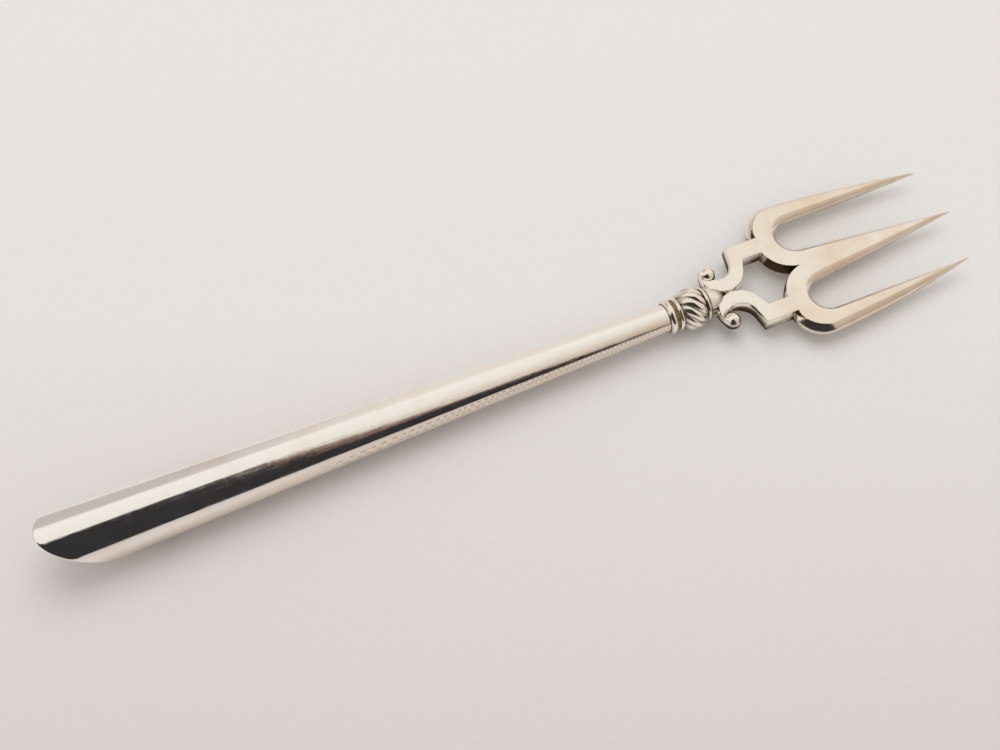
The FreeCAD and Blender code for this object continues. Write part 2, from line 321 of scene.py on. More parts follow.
def trident_side():
    """Half of the outline, anticlockwise from the window's cusp along the axis to the centre tine."""
    centre_tip = (CENTRE_TIP, 0.0)
    gap_start = tangent_angle(centre_tip, GAP_CENTRE, GAP_RADIUS, -1)
    gap_end = tangent_angle(OUTER_TIP, GAP_CENTRE, GAP_RADIUS, 1)
    gap = Arc(GAP_CENTRE, GAP_RADIUS, gap_start + 360, gap_end, OUTER_BEVEL)
    lobe_end = on_circle(LOBE_CENTRE, LOBE_RADIUS, LOBE_END_ANGLE)
    inward = (LOBE_CENTRE[0] - lobe_end[0], LOBE_CENTRE[1] - lobe_end[1])
    reach = (OUTER_TIP[0] - lobe_end[0], OUTER_TIP[1] - lobe_end[1])
    sag = (reach[0] * inward[0] + reach[1] * inward[1]) / LOBE_RADIUS
    back_radius = math.dist(OUTER_TIP, lobe_end) ** 2 / (2 * sag)
    back_centre = on_circle(lobe_end, back_radius, LOBE_END_ANGLE + 180)
    tip_angle = angle_about(back_centre, OUTER_TIP)
    step_angle = 180 - math.degrees(math.asin((ARM_OUTER_Y - LOBE_CENTRE[1]) / LOBE_RADIUS))
    step = on_circle(LOBE_CENTRE, LOBE_RADIUS, step_angle)
    pocket_start = on_circle(POCKET_CENTRE, POCKET_RADIUS, POCKET_START_ANGLE)
    lean = math.tan(math.radians(POCKET_START_ANGLE))
    shoulder = (pocket_start[0] - lean * (ARM_OUTER_Y - pocket_start[1]), ARM_OUTER_Y)
    curl_centre = on_circle(POCKET_CENTRE, POCKET_RADIUS - CURL_RADIUS, POCKET_END_ANGLE)
    curl_end = on_circle(curl_centre, CURL_RADIUS, CURL_END_ANGLE)
    volute_end = on_circle(volute_centre(), VOLUTE_RADIUS, VOLUTE_END_ANGLE)
    foot = on_circle(SCROLL_CENTRE, SCROLL_RADIUS, SCROLL_FOOT_ANGLE)
    inner_x = foot[0] - math.tan(math.radians(SCROLL_FOOT_ANGLE)) * (ARM_INNER_Y - foot[1])
    inner_corner = (inner_x, ARM_INNER_Y)
    window_corner = (WINDOW_CORNER_X, ARM_INNER_Y)
    cusp = (WINDOW_CUSP_X, 0.0)
    window_centre = centre_left_of(window_corner, cusp, WINDOW_LOBE_RADIUS)
    window_start = angle_about(window_centre, window_corner)
    window_end = angle_about(window_centre, cusp)
    return [
        Line(cusp, centre_tip, 0.0),
        Line(centre_tip, gap.start, OUTER_BEVEL),
        gap,
        Line(gap.end, OUTER_TIP, OUTER_BEVEL),
        Arc(back_centre, back_radius, tip_angle, LOBE_END_ANGLE, BACK_EDGE_BEVEL),
        Arc(LOBE_CENTRE, LOBE_RADIUS, LOBE_END_ANGLE, step_angle, BACK_EDGE_BEVEL),
        Line(step, shoulder, INNER_BEVEL),
        Line(shoulder, pocket_start, INNER_BEVEL),
        Arc(POCKET_CENTRE, POCKET_RADIUS, POCKET_START_ANGLE, POCKET_END_ANGLE, INNER_BEVEL),
        Arc(curl_centre, CURL_RADIUS, POCKET_END_ANGLE, CURL_END_ANGLE, INNER_BEVEL),
        Line(curl_end, volute_end, 0.0),
        Arc(volute_centre(), VOLUTE_RADIUS, VOLUTE_END_ANGLE, VOLUTE_START_ANGLE, INNER_BEVEL),
        Arc(SCROLL_CENTRE, SCROLL_RADIUS, VOLUTE_START_ANGLE, SCROLL_FOOT_ANGLE, INNER_BEVEL),
        Line(foot, inner_corner, INNER_BEVEL),
        Line(inner_corner, window_corner, WINDOW_BEVEL),
        Arc(window_centre, WINDOW_LOBE_RADIUS, window_start, window_end, WINDOW_BEVEL),
    ]


def outline_points(sides, inset):
    """The outline at one inset, as the points beside the axis and the points of all other sides."""
    count = len(sides)
    corners = [meeting_point(sides[i - 1], sides[i], inset) for i in range(count)]
    runs = [sides[i].sample(corners[i], corners[(i + 1) % count], inset) for i in range(count)]
    around = np.vstack([run[:-1] for run in runs[1:]] + [runs[-1][-1:]])
    return runs[0], around


# Height of the head's skin above each point


def soft_lower(a, b, blend):
    """The lower of two heights, with a smooth change from one to the other."""
    share = np.clip(0.5 + 0.5 * (b - a) / blend, 0, 1)
    return b * (1 - share) + a * share - blend * share * (1 - share)


def beside_ball(x, y, height):
    """The band runs onto the ball on its outer side. On the inner side a crevice parts them."""
    cx, cy = ball_centre()
    distance = np.hypot(x - cx, y - cy)
    direction = np.degrees(np.arctan2(y - cy, x - cx)) % 360
    crevice = smooth_step(190, 223, direction)
    beyond = 1.1 * (1 - smooth_step(0, 0.55, distance - BALL_RADIUS))
    parted = height - np.where(distance < BALL_RADIUS, 2.4, beyond)
    dome = (FACE_Z + BACK_Z) / 2 + np.sqrt(np.maximum(BALL_RADIUS**2 - distance**2, 0))
    share = smooth_step(0.45 * BALL_RADIUS, 0.95 * BALL_RADIUS, distance)
    joined = height * share + (dome - 0.01) * (1 - share)
    return crevice * parted + (1 - crevice) * joined


def bevel_foot(sides, around):
    """Where the bevel starts above the wall. On the backs of lobes and outer tines it starts lower."""
    foot = np.full(len(around), BEVEL_FOOT_Z)
    first = sum(side.count for side in sides[1:4])
    last = first + sides[4].count + sides[5].count
    from_tip = smooth_step(4.0, 22.0, OUTER_TIP[0] - around[first:last, 0])
    foot[first:last] += (BACK_EDGE_FOOT_Z - BEVEL_FOOT_Z) * from_tip
    return foot


def top_height(x, y, inset, foot=BEVEL_FOOT_Z):
    rise = (1 - (1 - inset) ** 1.25) ** (1 / 1.25)
    thinner = 1 - 0.3 * smooth_step(TAPER_X, CENTRE_TIP + 10, x)
    height = foot + (FACE_Z - foot) * rise * thinner
    ceiling = FACE_Z + 0.03 - 0.018 * np.maximum(x - TAPER_X + 4, 0)
    return beside_ball(x, y, soft_lower(height, ceiling, 0.1))


def back_height(x, y, inset):
    """The back has its own bevel, falls away to the tips and is filed thin behind the ball."""
    fall = np.minimum(inset / BACK_SHARE, 1.0)
    height = BACK_BEVEL_Z + (BACK_Z - BACK_BEVEL_Z) * (1 - (1 - fall) ** 1.4) ** (1 / 1.4)
    floor = BACK_Z + (BACK_Z + 0.1) / (TAPER_X - CENTRE_TIP) * np.maximum(x - TAPER_X, 0)
    cx, cy = ball_centre()
    near_ball = 1 - smooth_step(BALL_RADIUS, 5.5, np.hypot(x - cx, y - cy))
    return np.maximum(height, floor) + 1.5 * near_ball


def window_painted_reflection(x, y):
    """Painted dark reflection on the window's curved walls, but for the end at the arm."""
    corner = (WINDOW_CORNER_X, ARM_INNER_Y)
    centre = centre_left_of(corner, (WINDOW_CUSP_X, 0.0), WINDOW_LOBE_RADIUS)
    on_arc = np.abs(np.hypot(x - centre[0], y - centre[1]) - WINDOW_LOBE_RADIUS) < 0.6
    from_arm = np.hypot(x - corner[0], y - corner[1])
    return np.where(on_arc & (x < WINDOW_CUSP_X + 0.3), smooth_step(1.2, 2.6, from_arm), 0.0)


def wall_shade_and_grime(x, y):
    """Painted shade and dirt on the walls: a base darkening that is painted reflection of the shaded
    floor, and more in the deep corners: the window's step, the gap's root, the pockets and under the
    scrolls.
    """
    pocket = np.exp(-(((x - POCKET_CENTRE[0]) ** 2 + (y - POCKET_CENTRE[1]) ** 2) / 40.0))
    step = np.exp(-(((x - 12.6) ** 2 + (y - 12.6) ** 2) / 1.2))
    shoulder = np.exp(-(((x - 11.8) ** 2 + (y - 7.2) ** 2) / 5.0))
    touch = np.exp(-((x + 0.5) ** 2 + y**2) / 4.0)
    corners = 0.9 * pocket + 0.6 * step + 0.45 * shoulder + 0.8 * touch
    return np.clip(0.34 + corners + 0.9 * window_painted_reflection(x, y), 0, 1)


def inside_polygon(polygon, points):
    result = np.zeros(len(points), bool)
    ends = np.roll(polygon, -1, axis=0)
    for (x0, y0), (x1, y1) in zip(polygon, ends):
        crosses = (y0 > points[:, 1]) != (y1 > points[:, 1])
        if y0 != y1:
            at = x0 + (points[:, 1] - y0) * (x1 - x0) / (y1 - y0)
            result ^= crosses & (points[:, 0] < at)
    return result


def filled(polygon, step):
    """Triangles inside a closed outline, on a regular net of points with finer rings by the ball."""
    low, high = polygon.min(0), polygon.max(0)
    xs = np.arange(low[0] + step / 2, high[0], step)
    ys = np.arange(low[1] + step / 2, high[1], step)
    net = np.array([(x, y) for x in xs for y in ys])
    angles = np.linspace(0, 2 * math.pi, 61)[:-1]
    cx, cy = ball_centre()
    rings = [
        (cx + r * math.cos(a), cy + r * math.sin(a))
        for r in (0.4, 0.9, 1.3, 1.7, 2.0, 2.15, 2.21, 2.3, 2.4, 2.52, 2.66, 2.85, 3.1)
        for a in angles
    ]
    far = np.hypot(net[:, 0] - cx, net[:, 1] - cy) > 3.3
    net = np.vstack((net[far], rings))
    net = net[inside_polygon(polygon, net)]
    edge = np.linalg.norm(net[:, None, :] - polygon[None, ::2, :], axis=2).min(1)
    net = net[edge > 0.16]
    points = [Vector(p) for p in np.vstack((polygon, net))]
    count = len(polygon)
    edges = [(i, (i + 1) % count) for i in range(count)]
    made = delaunay_2d_cdt(points, edges, [], 1, 1e-6)
    return np.array([tuple(p) for p in made[0]]), [tuple(f) for f in made[2]]


def add_plate(skin):
    """The pierced trident with its lobes and scroll arms, one half and its mirror image."""
    sides = trident_side()
    shares = np.array(
        [0, 0.01, 0.03, 0.06, 0.1, 0.16, 0.24, 0.34, 0.46, 0.58, 0.7, 0.8, 0.87, 0.93, 0.97, 1.0]
    )
    rows = []
    shade_and_dirt = []
    for inset in BACK_SHARE * shares[::-3]:
        around = outline_points(sides, inset)[1]
        rows.append(np.column_stack((around, back_height(around[:, 0], around[:, 1], inset))))
        shade_and_dirt.append(wall_shade_and_grime(around[:, 0], around[:, 1]))
    around = outline_points(sides, 0.0)[1]
    foot = bevel_foot(sides, around)
    for share in (0.0, 0.35, 0.7, 0.92):
        low = back_height(around[:, 0], around[:, 1], 0.0)
        high = top_height(around[:, 0], around[:, 1], 0.0, foot)
        rows.append(np.column_stack((around, np.minimum(low, high) * (1 - share) + high * share)))
        # The walls get painted shade and the painted reflection of the shaded floor, less towards the
        # bevel's top.
        window = window_painted_reflection(around[:, 0], around[:, 1])
        shade_and_dirt.append(np.maximum(wall_shade_and_grime(around[:, 0], around[:, 1]) * (1.1 - 0.5 * share), window))
    for inset in shares:
        around = outline_points(sides, inset)[1]
        rows.append(np.column_stack((around, top_height(around[:, 0], around[:, 1], inset, foot))))
        # Close to the edge the face keeps some painted shade, and the window's painted reflection up to
        # its highlight.
        window = window_painted_reflection(around[:, 0], around[:, 1]) * (1 - smooth_step(0.7, 0.95, inset))
        edge = wall_shade_and_grime(around[:, 0], around[:, 1]) * max(0.0, 0.6 - 2.4 * inset)
        shade_and_dirt.append(np.maximum(edge, window))
    fills = []
    for inset, is_top in ((1.0, True), (BACK_SHARE, False)):
        axis, around = outline_points(sides, inset)
        polygon = np.vstack((axis[:-1], around[:-1]))
        flat, triangles = filled(polygon, 0.9)
        if is_top:
            heights = top_height(flat[:, 0], flat[:, 1], 1.0)
        else:
            heights = back_height(flat[:, 0], flat[:, 1], inset)
        fills.append((np.column_stack((flat, heights)), triangles))
    for mirror in (1, -1):
        flip = np.array([1, mirror, 1])
        skin.add_grid(np.array(rows) * flip, shade_and_grime=np.array(shade_and_dirt))
        for points, triangles in fills:
            first = skin.add_points(points * flip)
            skin.faces.extend(tuple(first + i for i in triangle) for triangle in triangles)


def add_turned(skin, profile, steps=96, shade_and_grime=None):
    """A turned form about the axis, from (x, radius) points."""
    angles = np.linspace(0, 2 * math.pi, steps + 1)[:-1]
    rows = [[(x, radius * math.cos(a), radius * math.sin(a)) for a in angles] for x, radius in profile]
    shade_and_dirt = 0.0 if shade_and_grime is None else np.repeat(np.array(shade_and_grime)[:, None], steps, axis=1)
    skin.add_grid(rows, wrap=True, shade_and_grime=shade_and_dirt)


def rounded_run(points, rounds=3):
    """A chain of points with its corners cut smooth, ends kept."""
    chain = np.array(points, float)
    for _ in range(rounds):
        before, after = chain[:-1], chain[1:]
        cut = np.empty((2 * len(before), chain.shape[1]))
        cut[0::2] = before * 0.75 + after * 0.25
        cut[1::2] = before * 0.25 + after * 0.75
        chain = np.vstack((chain[:1], cut, chain[-1:]))
    return chain


def add_ball(skin, side):
    cx, cy = ball_centre()
    cz = (FACE_Z + BACK_Z) / 2
    rows = []
    shade_and_dirt = []
    for i in range(33):
        lift = math.pi * (i / 32 - 0.5)
        ring = BALL_RADIUS * max(math.cos(lift), 0.0002)
        angles = np.linspace(0, 2 * math.pi, 49)[:-1]
        height = cz + BALL_RADIUS * math.sin(lift)
        rows.append([(cx + ring * math.cos(a), side * cy + ring * math.sin(a), height) for a in angles])
        # Painted shade on the lower half of the ball.
        shade_and_dirt.append([0.9 - 0.9 * smooth_step(-0.1, 0.75, math.sin(lift))] * len(angles))
    skin.add_grid(rows, wrap=True, shade_and_grime=shade_and_dirt)


def make_head(material):
    skin = Skin()
    add_plate(skin)
    for side in (1, -1):
        add_ball(skin, side)
    dome = rounded_run([(-1.6, 0.02), (-1.6, 1.5), (-3.3, 2.7), (-5.2, 3.6), (-6.6, 4.0), (-7.0, 4.0)])
    disc = rounded_run(
        [
            (DISC_FRONT_X, DISC_RADIUS - 0.5),
            (DISC_FRONT_X, DISC_RADIUS - 0.15),
            (DISC_FRONT_X - 0.18, DISC_RADIUS),
            (DISC_BACK_X + 0.18, DISC_RADIUS),
            (DISC_BACK_X, DISC_RADIUS - 0.15),
            (DISC_BACK_X, DISC_RADIUS - 1.4),
        ],
        2,
    )
    tang = [
        (-7.4, 3.0),
        (-7.6, TANG_RADIUS),
        (TANG_POINT_X, TANG_RADIUS),
        (TANG_BACK_X, 1.1),
        (TANG_BACK_X, 0.02),
    ]
    # Painted shade on the neck by the scrolls' touch, in the recess before the disc and on the disc's
    # sides.
    dome_shade_and_dirt = [max(0.0, 0.9 - 0.28 * (-1.6 - x)) + 0.6 * (x < -6.5) for x, _ in dome]
    add_turned(skin, dome, shade_and_grime=dome_shade_and_dirt)
    add_turned(skin, disc, shade_and_grime=[0.6 * (radius < DISC_RADIUS - 0.2) for _, radius in disc])
    add_turned(skin, tang, steps=24)
    return skin.make("fork_head_silver", material, merge=0.004, crease=50)


def knop_outline(share):
    return KNOP_END_RADIUS + (KNOP_RADIUS - KNOP_END_RADIUS) * math.sin(math.pi * share) ** 0.75


def make_knop(material):
    skin = Skin()
    around = FLUTE_COUNT * 16
    rows = []
    shade_and_dirt = []
    for i in range(41):
        share = (1 - math.cos(math.pi * i / 40)) / 2
        crest = knop_outline(share)
        depth = FLUTE_DEPTH * (0.35 + 0.65 * math.sin(math.pi * share))
        turn = FLUTE_TWIST * (share - 0.5) - math.pi / 2
        x = KNOP_BACK_X + KNOP_LENGTH * share
        angles = 2 * math.pi * np.arange(around) / around
        ridge = np.abs(np.sin(FLUTE_COUNT * angles / 2))
        radius = crest - depth * (1 - ridge**0.75)
        y, z = radius * np.cos(angles + turn), radius * np.sin(angles + turn)
        rows.append(np.column_stack((np.full(around, x), y, z)))
        # Painted shade in the flute valleys and towards both ends.
        valley = (1 - ridge) ** 2.2
        end = 1 - math.sin(math.pi * share)
        shade_and_dirt.append(np.clip(0.45 * valley + 0.55 * end**2, 0, 1))
    # The faces by the bore are fully in painted shade.
    for i, back in ((0, True), (len(rows) - 1, False)):
        cap = rows[i].copy()
        cap[:, 1:] *= BORE_RADIUS / np.hypot(cap[:, 1], cap[:, 2])[:, None]
        if back:
            rows.insert(0, cap)
            shade_and_dirt.insert(0, np.ones(around))
        else:
            rows.append(cap)
            shade_and_dirt.append(np.ones(around))
    skin.add_grid(rows, wrap=True, shade_and_grime=np.array(shade_and_dirt))
    return skin.make("twisted_knop_silver", material, merge=0.0005, crease=60)


def make_reed(name, back_x, front_x, radius, material, seed):
    """A half-round ring, slightly uneven as if filed by hand."""
    skin = Skin()
    width = front_x - back_x
    steps = 144
    angles = np.linspace(0, 2 * math.pi, steps + 1)[:-1]
    rows = []
    shade_and_dirt = []
    wobble = 0.02 * np.sin(3 * angles + seed) + 0.015 * np.sin(7 * angles + 2 * seed)
    for share in [0] + list(np.linspace(0, math.pi, 19)) + [math.pi]:
        x = back_x + width / 2 - width / 2 * math.cos(share)
        lift = radius - width / 2 + width / 2 * math.sin(share)
        ring = np.minimum(lift + wobble * math.sin(share) - 0.03 * math.sin(share), radius)
        rows.append(np.column_stack((np.full(steps, x), ring * np.cos(angles), ring * np.sin(angles))))
        # Painted shade on the ring's sides, where it meets its neighbours.
        shade_and_dirt.append(np.full(steps, 0.7 - 0.7 * smooth_step(0.0, 0.45, math.sin(share))))
    for i in (0, -1):
        inner = rows[i].copy()
        inner[:, 1:] *= BORE_RADIUS / np.hypot(inner[:, 1], inner[:, 2])[:, None]
        rows[i] = inner
    skin.add_grid(rows, wrap=True, shade_and_grime=np.array(shade_and_dirt))
    return skin.make(name, material, crease=70)


def make_band(material):
    """The grainy solder in the groove between the two rings."""
    skin = Skin()
    steps = 256
    angles = np.linspace(0, 2 * math.pi, steps + 1)[:-1]
    grains = np.random.default_rng(5)
    rows = []
    for share in np.linspace(0, 1, 9):
        x = GROOVE_BACK_X + (FRONT_REED_BACK_X - GROOVE_BACK_X) * share
        ring = BAND_RADIUS - 0.02 - 0.12 * grains.random(steps) ** 2
        if share in (0, 1):
            ring = np.full(steps, BAND_RADIUS - 0.15)
        rows.append(np.column_stack((np.full(steps, x), ring * np.cos(angles), ring * np.sin(angles))))
    skin.add_grid(rows, wrap=True, shade_and_grime=0.5)
    return skin.make("solder_band_gold", material, crease=80)


# Handle


def handle_radius(x):
    return HANDLE_MOUTH_RADIUS + HANDLE_TAPER * (MOUTH_X - x)


def seam_angle(x):
    """The soldered seam on the near side wanders a little about the middle."""
    places = (BUTT_X, -160.0, -120.0, -108.0, -92.0, -60.0, -40.0, MOUTH_X)
    angles = (-8.0, -7.0, 0.0, 8.0, 13.0, 20.0, 19.0, 15.0)
    return math.radians(float(np.interp(x, places, angles)))


def butt_plane():
    """The slant of the handle's end and a point on it, which leave the rounded tip at BUTT_X."""
    drop = handle_radius(BUTT_X) + handle_radius(BUTT_X + BUTT_CUT_LENGTH)
    slant = math.atan2(drop, BUTT_CUT_LENGTH)
    half_corner = (slant - math.atan(HANDLE_TAPER)) / 2
    allowance = BUTT_RIM_RADIUS * (1 / math.sin(half_corner) - 1)
    return slant, np.array([BUTT_X - allowance, 0.0, handle_radius(BUTT_X)])


def rim_point(angle):
    """Where the cone's line at this angle meets the slanted end."""
    slant, on_plane = butt_plane()
    s, c = math.sin(slant), math.cos(slant)
    reach = on_plane[0] * s + on_plane[2] * c
    x = (reach - handle_radius(0) * math.sin(angle) * c) / (s - HANDLE_TAPER * math.sin(angle) * c)
    radius = handle_radius(x)
    return np.array([x, radius * math.cos(angle), radius * math.sin(angle)])


def butt_rounding(angle):
    """The rounded rim at this angle: points from the cone over the edge onto the slanted end."""
    slant = butt_plane()[0]
    outward_plane = -np.array([math.sin(slant), 0.0, math.cos(slant)])
    lean = math.atan(HANDLE_TAPER)
    outward_cone = np.array(
        [math.sin(lean), math.cos(lean) * math.cos(angle), math.cos(lean) * math.sin(angle)]
    )
    rim = rim_point(angle)
    corner = math.pi - math.acos(float(np.clip(outward_plane @ outward_cone, -1, 1)))
    middle = rim - (outward_plane + outward_cone) * BUTT_RIM_RADIUS / (1 + outward_plane @ outward_cone)
    sweep = math.pi - corner
    points = []
    for share in np.linspace(0, 1, 9):
        mix = outward_cone * math.sin(sweep * (1 - share)) + outward_plane * math.sin(sweep * share)
        points.append(middle + BUTT_RIM_RADIUS * mix / np.linalg.norm(mix))
    return points


def dented(points):
    """Slow shallow waves in the thin shell, always inward."""
    x, y, z = points[..., 0], points[..., 1], points[..., 2]
    angle = np.arctan2(z, y)
    wave = (
        np.sin(0.11 * x + 2 * angle + 0.7)
        + 0.7 * np.sin(0.23 * x - angle + 2.0)
        + 0.5 * np.sin(0.41 * x + 3 * angle)
        + 0.35 * np.sin(0.83 * x - 2 * angle + 1.0)
    )
    shrink = 1 - 0.0022 * (0.5 + 0.2 * wave)
    result = points.copy()
    result[..., 1] *= shrink
    result[..., 2] *= shrink
    return result


def make_handle_half(name, material, upper):
    """Half of the hollow handle from seam to seam, with its half of the slanted end."""
    skin = Skin()
    steps = 140
    stations = 170
    seam_at_end = math.radians(-8.0)
    rows = []
    away = []
    for share in np.linspace(0, 1, steps + 1):
        column = []
        distance = []
        start = seam_at_end if upper else math.pi
        stop = math.pi if upper else 2 * math.pi + seam_at_end
        end_angle = start + (stop - start) * share
        over = butt_rounding(end_angle)
        first = over[0]
        first_angle = math.atan2(first[2], first[1])
        for k in range(stations):
            along = k / stations
            x = MOUTH_X + (first[0] - MOUTH_X) * along
            near = seam_angle(x)
            a0 = near if upper else math.pi
            a1 = math.pi if upper else 2 * math.pi + near
            free = a0 + (a1 - a0) * share
            turn = (first_angle - free + math.pi) % (2 * math.pi) - math.pi
            angle = free + turn * float(smooth_step(0.86, 1.0, along))
            radius = handle_radius(x)
            gap = min(share, 1 - share) * math.pi * radius
            radius -= 0.05 * (1 - float(smooth_step(0.0, 0.09, gap)))
            column.append((x, radius * math.cos(angle), radius * math.sin(angle)))
            distance.append((share if upper else share - 1) * (a1 - a0) * radius)
        column.extend(over)
        distance.extend([FAR_FROM_SEAM] * len(over))
        rows.append(column)
        away.append(distance)
    rows = np.array(rows)
    rows[..., 1] *= -1
    body = dented(rows)
    blend = smooth_step(WAVES_FROM_X, WAVES_FULLY_X, rows[..., 0])[..., None]
    rows = rows * (1 - blend) + body * blend
    skin.add_grid(rows, seam=np.array(away))
    rim = rows[:, -1]
    slant, on_plane = butt_plane()
    centre = np.array([BUTT_X + BUTT_CUT_LENGTH / 2 - 1.0, 0.0, 0.0])
    centre[2] = on_plane[2] - (centre[0] - on_plane[0]) * math.tan(slant)
    inner = [rim * (1 - s) + centre * s for s in (0, 0.05, 0.2, 0.45, 0.75, 0.999)]
    skin.add_grid(inner)
    return skin.make(name, material, crease=60)


# Materials


def node(tree, kind, **values):
    made = tree.nodes.new(kind)
    for key, value in values.items():
        if key in made.inputs:
            made.inputs[key].default_value = value
        else:
            setattr(made, key, value)
    return made


def new_material(name):
    material = bpy.data.materials.new(name)
    material.use_nodes = True
    tree = material.node_tree
    tree.nodes.clear()
    out = tree.nodes.new("ShaderNodeOutputMaterial")
    shader = tree.nodes.new("ShaderNodeBsdfPrincipled")
    tree.links.new(shader.outputs[0], out.inputs[0])
    return material, tree, shader


def ramp(tree, source, stops):
    """Colours by the value of source, from (place, colour) stops."""
    made = tree.nodes.new("ShaderNodeValToRGB")
    while len(made.color_ramp.elements) < len(stops):
        made.color_ramp.elements.new(0.5)
    for element, (place, colour) in zip(made.color_ramp.elements, stops):
        element.position = place
        element.color = colour if len(colour) == 4 else (*colour, 1.0)
    tree.links.new(source, made.inputs[0])
    return made.outputs[0]


def grey(value):
    return (value, value, value, 1.0)


def noise(tree, vector, scale, detail=3.0, roughness=0.55):
    made = node(tree, "ShaderNodeTexNoise", Scale=scale, Detail=detail, Roughness=roughness)
    tree.links.new(vector, made.inputs["Vector"])
    return made.outputs[0]


def scaled(tree, vector, scale, turn=(0.0, 0.0, 0.0)):
    """A place stretched by scale, so that a noise read there runs in streaks."""
    made = node(tree, "ShaderNodeMapping")
    made.inputs["Scale"].default_value = scale
    made.inputs["Rotation"].default_value = turn
    tree.links.new(vector, made.inputs["Vector"])
    return made.outputs[0]


def mixed(tree, factor, a, b):
    made = tree.nodes.new("ShaderNodeMix")
    made.data_type = "RGBA"
    for socket, value in ((made.inputs[0], factor), (made.inputs[6], a), (made.inputs[7], b)):
        if isinstance(value, (tuple, float)):
            socket.default_value = value
        else:
            tree.links.new(value, socket)
    return made.outputs[2]


def worked(tree, operation, a, b=0.0, c=0.0):
    """One sum on the values a, b and c, each a number or a socket."""
    made = node(tree, "ShaderNodeMath", operation=operation)
    for socket, value in zip(made.inputs, (a, b, c)):
        if isinstance(value, float):
            socket.default_value = value
        else:
            tree.links.new(value, socket)
    return made.outputs[0]


def seam_chatter(tree, place):
    """Two rows of slanting file marks beside the seam, which lie closer together towards the collar."""
    away = node(tree, "ShaderNodeAttribute", attribute_name="seam").outputs["Fac"]
    parts = tree.nodes.new("ShaderNodeSeparateXYZ")
    tree.links.new(place, parts.inputs[0])
    wander = noise(tree, place, 260.0, 2.0)
    closer = worked(tree, "MULTIPLY_ADD", parts.outputs["X"], 3700.0, 666.0)
    phase = worked(tree, "MULTIPLY", worked(tree, "MULTIPLY", closer, parts.outputs["X"]), 2 * math.pi)
    phase = worked(tree, "MULTIPLY_ADD", away, 2.2, phase)
    phase = worked(tree, "MULTIPLY_ADD", wander, 7.0, phase)
    dash = worked(tree, "MULTIPLY_ADD", worked(tree, "SINE", phase), 0.5, 0.5)
    dash = ramp(tree, dash, [(0.45, grey(0.0)), (0.62, grey(1.0))])
    from_row = worked(tree, "SUBTRACT", worked(tree, "ABSOLUTE", away), MARK_ROW_OFFSET)
    row = ramp(tree, worked(tree, "ABSOLUTE", from_row), [(0.07, grey(1.0)), (0.17, grey(0.0))])
    along = worked(tree, "MULTIPLY_ADD", parts.outputs["X"], 10.0, 0.6)
    along = ramp(tree, along, [(0.0, grey(0.0)), (0.12, grey(0.8))])
    return worked(tree, "MULTIPLY", worked(tree, "MULTIPLY", dash, row), along)


